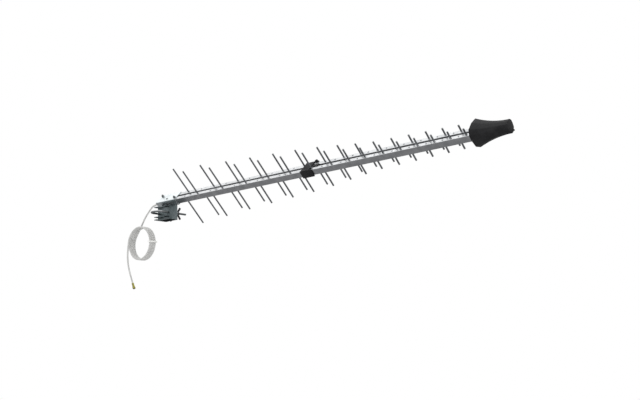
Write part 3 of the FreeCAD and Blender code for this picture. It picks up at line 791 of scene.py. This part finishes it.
def end_plugs():
    """Moulded plugs in the booms' rear ends, the near one with a ribbed boss for the cable."""
    for node in ("rear_plug_near", "rear_plug_far"):
        boom_low, boom_high = span(node.replace("rear_plug", "boom"))
        size = boom_high - boom_low
        middle = (boom_low + boom_high) / 2
        bm = bmesh.new()
        thicken(bm, [rounded_face(bm, size.z, size.y, PLUG_CORNER)], PLUG_FLANGE)
        round_edges(bm, sharp_edges(bm, CUT_EDGE), PLUG_EDGE)
        face = rounded_face(bm, size.z - 2 * BOOM_WALL, size.y - 2 * BOOM_WALL, PLUG_INNER_CORNER)
        base = list(face.verts)
        top = thicken(bm, [face], PLUG_DEPTH)
        bmesh.ops.translate(bm, vec=(0, 0, PLUG_FLANGE), verts=base + top)
        if node == "rear_plug_near":
            lathe(bm, COAX_BOSS, steps=TURNED_STEPS)
        rear = Matrix.Translation((boom_low.x - PLUG_FLANGE, middle.y, middle.z)) @ ALONG_X
        make_piece(node + "_moulded", bm, BLACK_PLASTIC, [node], turn=ROLLED @ rear)


# Coax

COAX_DIA = 0.005
LEAD = [(-0.048, 0.0374, 0.0354), (-0.066, 0.0374, 0.0354), (-0.086, 0.0388, 0.0224),
        (-0.114, 0.043, 0.003), (-0.143, 0.0505, -0.024)]
TAIL = [(-0.1774, 0.0249, -0.1108), (-0.1724, 0.0249, -0.1468), (-0.1614, 0.0259, -0.1778),
        (-0.1524, 0.0259, -0.1988)]
TURN_POINTS = 16
COIL_FROM = math.radians(150)
COIL_TO = math.radians(180 + 5 * 360)
COAX_ROUNDNESS = 4
COAX_SMOOTHNESS = 6
COAX_CURVE_ORDER = 3
TIE_CORNER = 0.0022
TIE_WALL = 0.0011
TIE_HEAD = Vector((0.003, 0.0066, 0.0062))
TIE_HEAD_CORNER = 0.0006
TIE_HEAD_EDGE = 0.0004
TIE_HEAD_PLACE = Vector((0.0006, 0.004, -0.0006))


def coil_points():
    """Control points of the coil's turns, from the far turn to the near one."""
    low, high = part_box("coax_coil")
    centre = (low + high) / 2
    radius = (high.x - low.x - COAX_DIA) / 2 / math.cos(math.pi / TURN_POINTS)
    count = round((COIL_TO - COIL_FROM) / (2 * math.pi) * TURN_POINTS)
    far = high.y - COAX_DIA / 2
    near = low.y + COAX_DIA / 2
    points = []
    for step in range(count + 1):
        share = step / count
        angle = COIL_FROM + share * (COIL_TO - COIL_FROM)
        points.append((centre.x + radius * math.cos(angle), far + share * (near - far),
                       centre.z + radius * math.sin(angle)))
    return points


def coax():
    """The white cable: its lead out of the near boom, its coil and its tail."""
    points = LEAD + coil_points() + TAIL
    curve = bpy.data.curves.new("coax_cable", "CURVE")
    curve.dimensions = "3D"
    curve.bevel_depth = COAX_DIA / 2
    curve.bevel_resolution = COAX_ROUNDNESS
    curve.resolution_u = COAX_SMOOTHNESS
    curve.use_fill_caps = True
    spline = curve.splines.new("NURBS")
    spline.points.add(len(points) - 1)
    for knot, point in zip(spline.points, points):
        knot.co = (*point, 1)
    spline.order_u = COAX_CURVE_ORDER
    spline.use_endpoint_u = True
    curve.materials.append(COAX_JACKET)
    cable = bpy.data.objects.new("coax_cable", curve)
    bpy.context.scene.collection.objects.link(cable)
    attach(cable, "antenna")
    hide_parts("coax_lead", "coax_coil", "coax_tail")
    return cable


def coil_tie():
    """A moulded tie around the coil's turns, with its head."""
    low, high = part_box("coil_tie")
    size = high - low
    middle = (low + high) / 2
    bm = bmesh.new()
    rounded_tube(bm, size.x, size.y, TIE_CORNER, TIE_WALL, size.z,
                 Matrix.Translation((middle.x, middle.y, low.z)))
    before = set(bm.verts)
    thicken(bm, [rounded_face(bm, TIE_HEAD.x, TIE_HEAD.y, TIE_HEAD_CORNER)], TIE_HEAD.z)
    head = edges_of(v for v in bm.verts if v not in before)
    round_edges(bm, [e for e in sharp_edges(bm, CUT_EDGE) if e in head], TIE_HEAD_EDGE)
    place_new(bm, before, Matrix.Translation(Vector((high.x, middle.y, low.z)) + TIE_HEAD_PLACE))
    return make_piece("coil_tie_band", bm, TIE_PLASTIC, ["coil_tie"])


# Connector
# Heights are along the connector from the cable's end. The nut's collar is given by its radius and
# its height from the nut's rear face.

FERRULE_R = 0.0034
FERRULE_LENGTH = 0.01
FERRULE_LAP = 0.0005
FERRULE_EASE = 0.0003
GROOVES = (0.002, 0.004, 0.006)
GROOVE_DEPTH = 0.0003
GROOVE_WIDE = 0.0012
BARREL_R = 0.0026
BARREL_END = 0.019
BARREL_EASE = 0.0002
SOCKET_R = 0.0021
SOCKET_FLOOR = 0.0175
PIN_R = 0.0005
PIN_TIP = 0.0205
PIN_POINT = 0.0003
NUT_FROM = 0.0103
NUT_LENGTH = 0.0082
NUT_FLATS = 0.008
NUT_HEX_SHARE = 0.72
NUT_CHAMFER = 0.0005
NUT_COLLAR = ((0.0028, 0), (0.0036, 0), (0.0038, 0.0002), (0.0038, 0.0016), (0.0035, 0.0019),
              (0.0035, 0.0026), (0.0028, 0.0026))


def connector_profile():
    """A crimped ferrule, the barrel, and the pin in the barrel's open end."""
    profile = [(0, -FERRULE_LAP), (FERRULE_R - FERRULE_LAP, -FERRULE_LAP), (FERRULE_R, 0)]
    groove_r = FERRULE_R - GROOVE_DEPTH
    for groove in GROOVES:
        profile += [(FERRULE_R, groove), (groove_r, groove + GROOVE_DEPTH),
                    (groove_r, groove + GROOVE_WIDE - GROOVE_DEPTH), (FERRULE_R, groove + GROOVE_WIDE)]
    profile += [(FERRULE_R, FERRULE_LENGTH - FERRULE_EASE), (FERRULE_R - FERRULE_EASE, FERRULE_LENGTH)]
    profile += [(BARREL_R, FERRULE_LENGTH), (BARREL_R, BARREL_END - BARREL_EASE),
                (BARREL_R - BARREL_EASE, BARREL_END), (SOCKET_R, BARREL_END), (SOCKET_R, SOCKET_FLOOR)]
    profile += [(PIN_R, SOCKET_FLOOR), (PIN_R, PIN_TIP - PIN_POINT),
                (PIN_R - PIN_POINT, PIN_TIP), (0, PIN_TIP)]
    return profile


def connector():
    """A gold plated connector, and a coupling nut that turns on it."""
    end = Vector(TAIL[-1])
    down = (end - Vector(TAIL[-2])).normalized()
    facing = Matrix.Translation(end) @ down.to_track_quat("Z", "Y").to_matrix().to_4x4()
    bm = bmesh.new()
    lathe(bm, connector_profile(), facing, TURNED_STEPS)
    body = make_piece("connector_barrel", bm, GOLD_BRASS, ["connector_body"])

    hex_length = NUT_LENGTH * NUT_HEX_SHARE
    hex_from = NUT_FROM + NUT_LENGTH - hex_length
    bm = bmesh.new()
    hexagon(bm, NUT_FLATS, hex_length, facing @ Matrix.Translation((0, 0, hex_from)), NUT_CHAMFER)
    lathe(bm, NUT_COLLAR, facing @ Matrix.Translation((0, 0, NUT_FROM)), RING_STEPS, ring=True)
    nut = make_piece("coupling_hex_nut", bm, GOLD_BRASS, ["coupling_nut"], body="coupling_nut")
    return body, nut


def dress_inner_nodes():
    """Finishes for the CAD nodes that stay as they are."""
    finishes = {"gap_spacer": BLACK_PLASTIC, "nose_insulator": BLACK_PLASTIC, "feed_link": GOLD_BRASS,
                "shorting_bridge": ZINC_STEEL}
    for node, material in finishes.items():
        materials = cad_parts[node].data.materials
        materials.clear()
        materials.append(material)


# Studio
# A light is its place, the point that it faces, its size and its power.

FLOOR_PLACE = (0.5, 0, -1.1)
FLOOR_HALF = 14.0
FLOOR_GREY = 0.72
FLOOR_ROUGHNESS = 0.8
SURROUND_STRENGTH = 1.5
SURROUND_LOW = 0.42
SURROUND_HIGH = 0.88
SURROUND_DARK = (0.2, 0.2, 0.205, 1)
WHITE = (1, 1, 1, 1)
LIGHTS = {
    "overhead_softbox": ((0.3, -0.6, 2.4), (0.4, 0, 0), 2.4, 2),
    "front_softbox": ((2.6, -2.6, 1.2), (0.4, 0, 0), 1.6, 20),
    "low_softbox": ((1.4, -1.6, -1.0), (0.5, 0, 0), 1.5, 14),
}
CAMERA_PLACE = (2.24397, -1.91628, -0.52304)
CAMERA_PAN = math.radians(40)
CAMERA_TILT = math.radians(100.59)
CAMERA_ROLL = math.radians(-1.947)
CAMERA_LENS = 55.246
SENSOR = 36.0


def studio_floor():
    """A pale floor below the antenna, which its metal doesn't reflect."""
    bm = bmesh.new()
    bmesh.ops.create_grid(bm, x_segments=1, y_segments=1, size=FLOOR_HALF,
                          matrix=Matrix.Translation(FLOOR_PLACE))
    mesh = bpy.data.meshes.new("floor")
    bm.to_mesh(mesh)
    bm.free()
    finish = Finish("floor_pale", 0.0, FLOOR_ROUGHNESS)
    finish.surface.inputs["Base Color"].default_value = (FLOOR_GREY, FLOOR_GREY, FLOOR_GREY, 1)
    mesh.materials.append(finish.material)
    floor = bpy.data.objects.new("floor", mesh)
    floor.visible_glossy = False
    bpy.context.scene.collection.objects.link(floor)


def surround():
    """A world that the camera sees as white, and that lights the antenna more from above than below."""
    world = bpy.data.worlds.new("studio_surround")
    bpy.context.scene.world = world
    world.use_nodes = True
    nodes = world.node_tree.nodes
    link = world.node_tree.links.new
    seen = nodes["Background"]
    seen.inputs["Color"].default_value = WHITE
    lighting = nodes.new("ShaderNodeBackground")
    lighting.inputs["Strength"].default_value = SURROUND_STRENGTH
    direction = nodes.new("ShaderNodeTexCoord")
    split = nodes.new("ShaderNodeSeparateXYZ")
    ramp = nodes.new("ShaderNodeValToRGB")
    height = nodes.new("ShaderNodeMapRange")
    height.inputs["From Min"].default_value = -1
    first, last = ramp.color_ramp.elements
    first.position = SURROUND_LOW
    first.color = SURROUND_DARK
    last.position = SURROUND_HIGH
    last.color = WHITE
    path = nodes.new("ShaderNodeLightPath")
    choose = nodes.new("ShaderNodeMixShader")
    link(direction.outputs["Generated"], split.inputs["Vector"])
    link(split.outputs["Z"], height.inputs["Value"])
    link(height.outputs["Result"], ramp.inputs["Fac"])
    link(ramp.outputs["Color"], lighting.inputs["Color"])
    link(path.outputs["Is Camera Ray"], choose.inputs["Fac"])
    link(lighting.outputs["Background"], choose.inputs[1])
    link(seen.outputs["Background"], choose.inputs[2])
    link(choose.outputs["Shader"], nodes["World Output"].inputs["Surface"])


def soft_light(name, place, target, size, power):
    """A square area light that faces a point."""
    light = bpy.data.lights.new(name, "AREA")
    light.size = size
    light.energy = power
    lamp = bpy.data.objects.new(name, light)
    lamp.visible_camera = False
    lamp.visible_glossy = False
    bpy.context.scene.collection.objects.link(lamp)
    facing = (Vector(target) - Vector(place)).to_track_quat("-Z", "Y")
    lamp.matrix_world = Matrix.Translation(place) @ facing.to_matrix().to_4x4()


def camera():
    lens = bpy.data.cameras.new("camera")
    lens.lens = CAMERA_LENS
    lens.sensor_width = SENSOR
    viewer = bpy.data.objects.new("camera", lens)
    bpy.context.scene.collection.objects.link(viewer)
    viewer.matrix_world = (Matrix.Translation(CAMERA_PLACE) @ Matrix.Rotation(CAMERA_PAN, 4, "Z")
                           @ Matrix.Rotation(CAMERA_TILT, 4, "X") @ Matrix.Rotation(CAMERA_ROLL, 4, "Z"))
    bpy.context.scene.camera = viewer
    bpy.context.scene.view_settings.view_transform = "Standard"


booms()
rods()
nose_cap()
boom_clip()
clip_thumb_screw()
rear_clamp()
mast_bracket()
u_bolt()
wing_nuts()
end_plugs()
cable = coax()
tie = coil_tie()
barrel, coupling = connector()
dress_inner_nodes()
studio_floor()
surround()
for light_name, light_values in LIGHTS.items():
    soft_light(light_name, *light_values)
camera()
